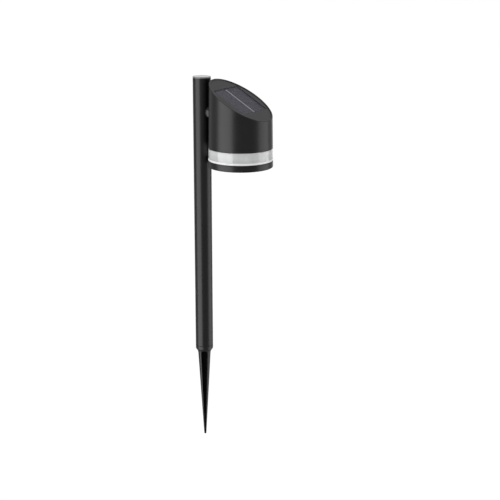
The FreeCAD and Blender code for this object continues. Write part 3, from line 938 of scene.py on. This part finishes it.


# %% [markdown]
# The black finishes differ slightly: the post is powder coated, the head is a fine satin
# moulding, the spike is a plainer plastic, and the bezel is a shade greyer. The post's cap is
# given a grey colour with a clear gloss.

# %% Black and grey finishes
make_looks([
    ("post_paint", (0.0035, 0.0035, 0.0037), (0.005, 0.005, 0.0052), 1400, 0.30, 0.06, 0.12),
    ("head_satin", (0.0035, 0.0035, 0.0037), (0.005, 0.005, 0.0052), 1700, 0.32, 0.06, 0.10),
    ("spike_black", (0.003, 0.003, 0.003), (0.0045, 0.0045, 0.0045), 900, 0.32, 0.10, 0.15),
    ("trim_black", (0.003, 0.003, 0.003), (0.005, 0.005, 0.005), 1200, 0.16, 0.04, 0.06),
    ("bezel_grey", (0.005, 0.005, 0.0048), (0.0075, 0.0075, 0.0073), 1800, 0.34, 0.06, 0.10),
    ("parts_black", (0.02, 0.02, 0.02), (0.035, 0.035, 0.035), 1200, 0.45, 0.1, 0.15),
    ("gasket_rubber", (0.015, 0.015, 0.015), (0.024, 0.024, 0.024), 1300, 0.7, 0.1, 0.2),
    ("foam_tape", (0.03, 0.03, 0.03), (0.05, 0.05, 0.05), 2500, 0.85, 0.1, 0.3),
    ("laminate", (0.014, 0.014, 0.018), (0.020, 0.020, 0.024), 2200, 0.5, 0.1, 0.2),
])
make_looks([
    ("cap_grey", (0.15, 0.15, 0.152), (0.18, 0.18, 0.182), 1500, 0.26, 0.06, 0.06),
], Coat_Weight=0.6, Coat_Roughness=0.12)

# %% [markdown]
# Inside the head the circuit board is white, the cell has a green sleeve, the wires are red, the
# lamps are yellow with phosphor and the ribbon on the panel is tinned. The foot of the ring is a
# white band that paints the highlight along the ring's lower edge.

# %% Coloured and pale finishes
make_looks([
    ("board_white", (0.76, 0.76, 0.75), (0.82, 0.82, 0.81), 800, 0.4, 0.1, 0.08),
    ("cell_sleeve", (0.05, 0.20, 0.10), (0.07, 0.25, 0.13), 500, 0.3, 0.1, 0.1),
    ("wire_cover", (0.30, 0.02, 0.02), (0.40, 0.03, 0.03), 900, 0.45, 0.1, 0.1),
    ("phosphor", (0.80, 0.66, 0.22), (0.86, 0.74, 0.30), 1500, 0.4, 0.1, 0.2),
    ("tinned_ribbon", (0.36, 0.36, 0.41), (0.44, 0.44, 0.49), 1200, 0.4, 0.1, 0.2),
    # The foot's white paints the highlight along the ring's lower edge.
    ("foot_painted_highlight", (0.79, 0.79, 0.80), (0.85, 0.85, 0.86), 700, 0.35, 0.1, 0.05),
])

# %% [markdown]
# Metal finishes: the screws are zinc plated, the contacts are nickel and the insert is warmer
# brass. The reflector is plated plastic, a satin silver with a slight orange peel.

# %% Metal finishes
make_looks([
    ("zinc_steel", (0.55, 0.55, 0.56), (0.66, 0.66, 0.67), 1600, 0.32, 0.2, 0.2),
    ("brass", (0.66, 0.48, 0.20), (0.74, 0.56, 0.26), 1400, 0.3, 0.2, 0.2),
    ("nickel", (0.66, 0.65, 0.62), (0.74, 0.73, 0.70), 1500, 0.25, 0.2, 0.15),
], Metallic=1.0)
make_looks([
    ("silver_plating", (0.90, 0.90, 0.91), (0.94, 0.94, 0.95), 260, 0.28, 0.1, 0.15),
], Metallic=0.5)

# %% [markdown]
# The flutes get painted shade: the spike's own surface is set matt with no reflection, and a coat
# gives the gloss back only outside the flutes, so the flutes stay black. The mask compares a
# point's distance from the axis with the spike's full radius at that height.

# %% Flutes with painted shade
LEVEL = (1, 1, 0)
SHADED_BELOW = 0.70
GLOSSY_ABOVE = 0.88


def flutes_painted_shade(material):
    """Keep the coat of a spike finish off the flutes, which paints shade in them."""
    tree = material.node_tree
    shader = tree.nodes["Principled BSDF"]
    shader.inputs["Specular IOR Level"].default_value = 0.0
    shader.inputs["Coat Roughness"].default_value = 0.32
    place = add(tree, "TexCoord")
    split = add(tree, "SeparateXYZ")
    level = add(tree, "VectorMath", "MULTIPLY", second=LEVEL)
    radius = add(tree, "VectorMath", "LENGTH")
    full = add(tree, "MapRange", From_Min=POINT_Z, From_Max=0,
               To_Min=SPIKE_POINT_R, To_Max=SPIKE_TOP_R)
    share = add(tree, "Math", "DIVIDE")
    ridge = add(tree, "MapRange", From_Min=SHADED_BELOW, From_Max=GLOSSY_ABOVE)
    join(tree,
         (place, "Object", split, 0),
         (place, "Object", level, 0),
         (level, "Vector", radius, 0),
         (split, "Z", full, "Value"),
         (radius, "Value", share, 0),
         (full, "Result", share, 1),
         (share, "Value", ridge, "Value"),
         (ridge, "Result", shader, "Coat Weight"))


# The flutes' missing gloss is painted shade.
flutes_painted_shade(looks["spike_black"])
print("flutes dull below", SHADED_BELOW, "of the full radius")

# %% [markdown]
# The ring is slightly milky plastic: about half of the light goes straight through and bends,
# the rest is scattered, and faint level streaks lie in it. Its inner wall is the rougher one.

# %% Ring finish
FROST_FROM = RING_IN + 0.4 * MM
FROST_TO = RING_IN + 1.4 * MM
INNER_ROUGHNESS = 0.06
OUTER_ROUGHNESS = 0.02
ROUGHNESS_SPREAD = 0.04
STREAK_STRETCH = (11, 11, 620)


def milky_ring():
    """Plastic that lets half of the light through."""
    material, shader = finish("clear_plastic", Transmission_Weight=0.52, IOR=1.49,
                              Coat_Weight=1.0, Coat_Roughness=0.12)
    tree = material.node_tree
    place = add(tree, "TexCoord")
    centre = add(tree, "VectorMath", "SUBTRACT", second=(HEAD_X, 0, 0))
    level = add(tree, "VectorMath", "MULTIPLY", second=LEVEL)
    radius = add(tree, "VectorMath", "LENGTH")
    frost = add(tree, "MapRange", From_Min=FROST_FROM, From_Max=FROST_TO,
                To_Min=INNER_ROUGHNESS, To_Max=OUTER_ROUGHNESS)
    haze = add(tree, "TexNoise", Scale=120)
    uneven = add(tree, "Math", "MULTIPLY_ADD", second=ROUGHNESS_SPREAD)
    stretch = add(tree, "VectorMath", "MULTIPLY", second=STREAK_STRETCH)
    streak = add(tree, "TexNoise", Scale=1.0, Detail=2)
    faint = add(tree, "MapRange", From_Min=0.35, From_Max=0.65)
    body = colour_mix(tree, A=(0.90, 0.905, 0.912), B=(0.98, 0.985, 0.99))
    join(tree,
         (place, "Object", centre, 0),
         (centre, "Vector", level, 0),
         (level, "Vector", radius, 0),
         (radius, "Value", frost, "Value"),
         (place, "Object", haze, "Vector"),
         (haze, "Fac", uneven, 0),
         (frost, "Result", uneven, 2),
         (uneven, "Value", shader, "Roughness"),
         (place, "Object", stretch, 0),
         (stretch, "Vector", streak, "Vector"),
         (streak, "Fac", faint, "Value"),
         (faint, "Result", body, "Factor"),
         (body, "Result", shader, "Base Color"))
    return material


looks["clear_plastic"] = milky_ring()
print("finish clear_plastic")

# %% [markdown]
# The resin over the cells is thin, so it is a light veil that lets the cells show through.

# %% Resin finish


def clear_resin():
    """Thin resin veil over the cells."""
    material, shader = finish("clear_resin", Alpha=0.12, Roughness=0.3,
                              Base_Color=(0.20, 0.19, 0.24, 1))
    tree = material.node_tree
    place = add(tree, "TexCoord")
    haze = add(tree, "TexNoise", Scale=400)
    spread = add(tree, "MapRange", To_Min=0.2, To_Max=0.36)
    join(tree,
         (place, "Object", haze, "Vector"),
         (haze, "Fac", spread, "Value"),
         (spread, "Result", shader, "Roughness"))
    return material


looks["clear_resin"] = clear_resin()
print("finish clear_resin")

# %% [markdown]
# A silicon cell is a dark purple-grey wafer printed with fine fingers that run across to the
# ribbon. The fingers are a thin line that repeats down the slope, so they lie on the real cells.

# %% Solar cell finish
FINGER_PITCH = 2.0 * MM
FINGER_SHARE = 0.07


def solar_cell():
    """Purple-grey silicon with fine printed fingers across the slope."""
    material, shader = finish("solar_cell", Roughness=0.4, Specular_IOR_Level=0.38)
    tree = material.node_tree
    place = add(tree, "TexCoord")
    along = add(tree, "VectorMath", "DOT_PRODUCT", second=SLOPE_DOWN)
    count = add(tree, "Math", "MULTIPLY", second=1 / FINGER_PITCH)
    cycle = add(tree, "Math", "FRACT")
    line = add(tree, "Math", "LESS_THAN", second=FINGER_SHARE)
    cloud = add(tree, "TexNoise", Scale=220)
    silicon = colour_mix(tree, A=(0.008, 0.0065, 0.017), B=(0.010, 0.0085, 0.021))
    printed = colour_mix(tree, B=(0.018, 0.016, 0.030))
    join(tree,
         (place, "Object", along, 0),
         (along, "Value", count, 0),
         (count, "Value", cycle, 0),
         (cycle, "Value", line, 0),
         (place, "Object", cloud, "Vector"),
         (cloud, "Fac", silicon, "Factor"),
         (silicon, "Result", printed, "A"),
         (line, "Value", printed, "Factor"),
         (printed, "Result", shader, "Base Color"))
    return material


looks["solar_cell"] = solar_cell()
print("finish solar_cell")

# %% [markdown]
# Each new piece and each carried-over node gets its finish. A node's own material slots are
# refilled, so nothing keeps the flat colour that it came with.

# %% Put the finishes on
PIECE_LOOKS = {
    post: "post_paint", cap: "cap_grey", spike: "spike_black", shell: "head_satin",
    base: "head_satin", bezel: "bezel_grey", spacer: "trim_black", cover: "clear_resin",
    ring: "clear_plastic", sole: "foot_painted_highlight", reflector: "silver_plating",
    knob: "trim_black", stem: "trim_black",
}
NODE_LOOKS = {
    "curved_washer": "parts_black", "fixing_screw": "zinc_steel", "threaded_insert": "brass",
    "access_plug": "trim_black", "bezel_tape": "foam_tape", "solar_backing": "laminate",
    "solar_cells": "solar_cell", "busbar": "tinned_ribbon", "panel_leads": "wire_cover",
    "upper_gasket": "gasket_rubber", "lower_gasket": "gasket_rubber",
    "light_board": "board_white", "leds": "phosphor", "charge_parts": "parts_black",
    "battery_tray": "parts_black", "battery_contacts": "nickel",
    "battery_cell": "cell_sleeve", "switch_body": "parts_black", "switch_leads": "wire_cover",
}


def wear(piece, look):
    """Give one finish to the whole piece."""
    piece.data.materials.clear()
    piece.data.materials.append(looks[look])


for piece, look in PIECE_LOOKS.items():
    wear(piece, look)
for index in range(len(bosses)):
    wear(bpy.data.objects["pillar_" + str(index)], "silver_plating")
    wear(bpy.data.objects["screw_" + str(index)], "zinc_steel")
for name, look in NODE_LOOKS.items():
    wear(cad_nodes[name], look)
print("finishes worn by", len(PIECE_LOOKS) + 2 * len(bosses), "pieces and",
      len(NODE_LOOKS), "nodes")

# %% [markdown]
# The stage is a pale floor under the spike's tip. The camera sees it glow almost white, and a
# reflection doesn't see it at all.

# %% Floor
FLOOR_SIZE = 12
FLOOR_GAP = 0.0005
FLOOR_GLOW = 1.05
GLOW_SHARE = 0.93


def stage_floor():
    """Large pale floor just under the spike's tip."""
    let_go()
    bpy.ops.mesh.primitive_plane_add(size=FLOOR_SIZE, location=(0, 0, spike_low.z - FLOOR_GAP))
    floor = bpy.context.object
    floor.name = "floor"
    material, shader = finish("floor_white", Base_Color=(0.9, 0.9, 0.9, 1), Roughness=0.9,
                              Specular_IOR_Level=0.0)
    tree = material.node_tree
    glow = add(tree, "Emission", Strength=FLOOR_GLOW)
    path = add(tree, "LightPath")
    seen = add(tree, "Math", "MULTIPLY", second=GLOW_SHARE)
    mix = add(tree, "MixShader")
    join(tree,
         (path, "Is Camera Ray", seen, 0),
         (seen, "Value", mix, "Fac"),
         (shader, "BSDF", mix, 1),
         (glow, "Emission", mix, 2),
         (mix, "Shader", tree.nodes["Material Output"], "Surface"))
    floor.data.materials.append(material)
    floor.visible_glossy = False
    return floor


floor = stage_floor()
print("floor at", round(floor.location.z / MM, 1), "mm")

# %% [markdown]
# To the camera and through clear plastic the surround is white. A reflection sees it as a
# photographer's room: a white sweep behind the light, a dim room elsewhere and a slightly
# lighter ceiling, which keeps black plastic black and its edges crisp.

# %% Surround
WORLD_LIGHT = 0.60
SWEEP_HALF = 22
SWEEP_SOFT = 14
ROOM_LEVEL = 0.34
CEILING_LEVEL = 0.45
CEILING_FROM = 0.30
CEILING_FULL = 0.50
HEAD_MIDDLE = Vector((HEAD_X, 0, 0.2))
to_camera = CAMERA_PLACE - HEAD_MIDDLE
to_camera.z = 0
to_camera.normalize()


def background(tree, strength):
    """White world light of one strength."""
    return add(tree, "Background", Color=(1, 1, 1, 1), Strength=strength)


def surround():
    """World that is white where it is seen, and lights the object at a plain level."""
    world = bpy.data.worlds.new("surround")
    world.use_nodes = True
    bpy.context.scene.world = world
    tree = world.node_tree
    tree.nodes.clear()
    seen = background(tree, 1.0)
    lit = background(tree, WORLD_LIGHT)
    room = background(tree, 1.0)
    path = add(tree, "LightPath")
    place = add(tree, "TexCoord")
    level = add(tree, "VectorMath", "MULTIPLY", second=LEVEL)
    heading = add(tree, "VectorMath", "NORMALIZE")
    behind = add(tree, "VectorMath", "DOT_PRODUCT", second=-to_camera)
    sweep = add(tree, "MapRange", To_Min=ROOM_LEVEL, To_Max=1.0,
                From_Min=math.cos(math.radians(SWEEP_HALF + SWEEP_SOFT)),
                From_Max=math.cos(math.radians(SWEEP_HALF)))
    sweep.interpolation_type = "SMOOTHSTEP"
    split = add(tree, "SeparateXYZ")
    height = add(tree, "MapRange", From_Min=CEILING_FROM, From_Max=CEILING_FULL)
    height.interpolation_type = "SMOOTHSTEP"
    shaded = add(tree, "Mix", B=CEILING_LEVEL)
    white = add(tree, "Math", "MAXIMUM")
    reflected = add(tree, "MixShader")
    shown = add(tree, "MixShader")
    out = add(tree, "OutputWorld")
    join(tree,
         (place, "Generated", level, 0),
         (level, "Vector", heading, 0),
         (heading, "Vector", behind, 0),
         (behind, "Value", sweep, "Value"),
         (place, "Generated", split, 0),
         (split, "Z", height, "Value"),
         (sweep, "Result", shaded, "A"),
         (height, "Result", shaded, "Factor"),
         (shaded, "Result", room, "Strength"),
         (path, "Is Glossy Ray", reflected, "Fac"),
         (lit, "Background", reflected, 1),
         (room, "Background", reflected, 2),
         (path, "Is Camera Ray", white, 0),
         (path, "Is Transmission Ray", white, 1),
         (white, "Value", shown, "Fac"),
         (reflected, "Shader", shown, 1),
         (seen, "Background", shown, 2),
         (shown, "Shader", out, "Surface"))
    print("surround lights at", WORLD_LIGHT)


surround()

# %% [markdown]
# Two tall soft boxes shape the black drum: one to the left gives the broad highlight, one far to
# the right gives the light edge, and the dark room between them keeps the middle black. A weak
# one hangs above.

# %% Soft boxes
SIDE_DISTANCE = 1.3
SIDE_DROP = Vector((0, 0, -0.35))
SIDE_HEIGHT = 2.4
ABOVE = Vector((0.2, 0.1, 1.4))


def around_head(turn_deg):
    """Place at an angle from the camera's side (right is positive), seen from the head."""
    turn = Matrix.Rotation(math.radians(turn_deg), 3, "Z")
    return HEAD_MIDDLE + (turn @ to_camera) * SIDE_DISTANCE + SIDE_DROP


def softbox(name, place, width, height, brightness):
    """Rectangular lamp of a given brightness that faces the head."""
    let_go()
    bpy.ops.object.light_add(type="AREA", location=place)
    lamp = bpy.context.object
    lamp.name = name
    lamp.data.shape = "RECTANGLE"
    lamp.data.size = width
    lamp.data.size_y = height
    lamp.data.energy = brightness * math.pi * width * height
    lamp.visible_camera = False
    lamp.rotation_euler = (HEAD_MIDDLE - place).to_track_quat("-Z", "Y").to_euler()
    print(name, "gives", round(lamp.data.energy, 1), "W")


softbox("left_box", around_head(-58), 1.45, SIDE_HEIGHT, brightness=2.15)
softbox("right_box", around_head(90), 1.2, SIDE_HEIGHT, brightness=1.25)
softbox("top_box", HEAD_MIDDLE + ABOVE, 1.0, 1.0, brightness=1.0)

view = bpy.context.scene.view_settings
view.view_transform = "Standard"
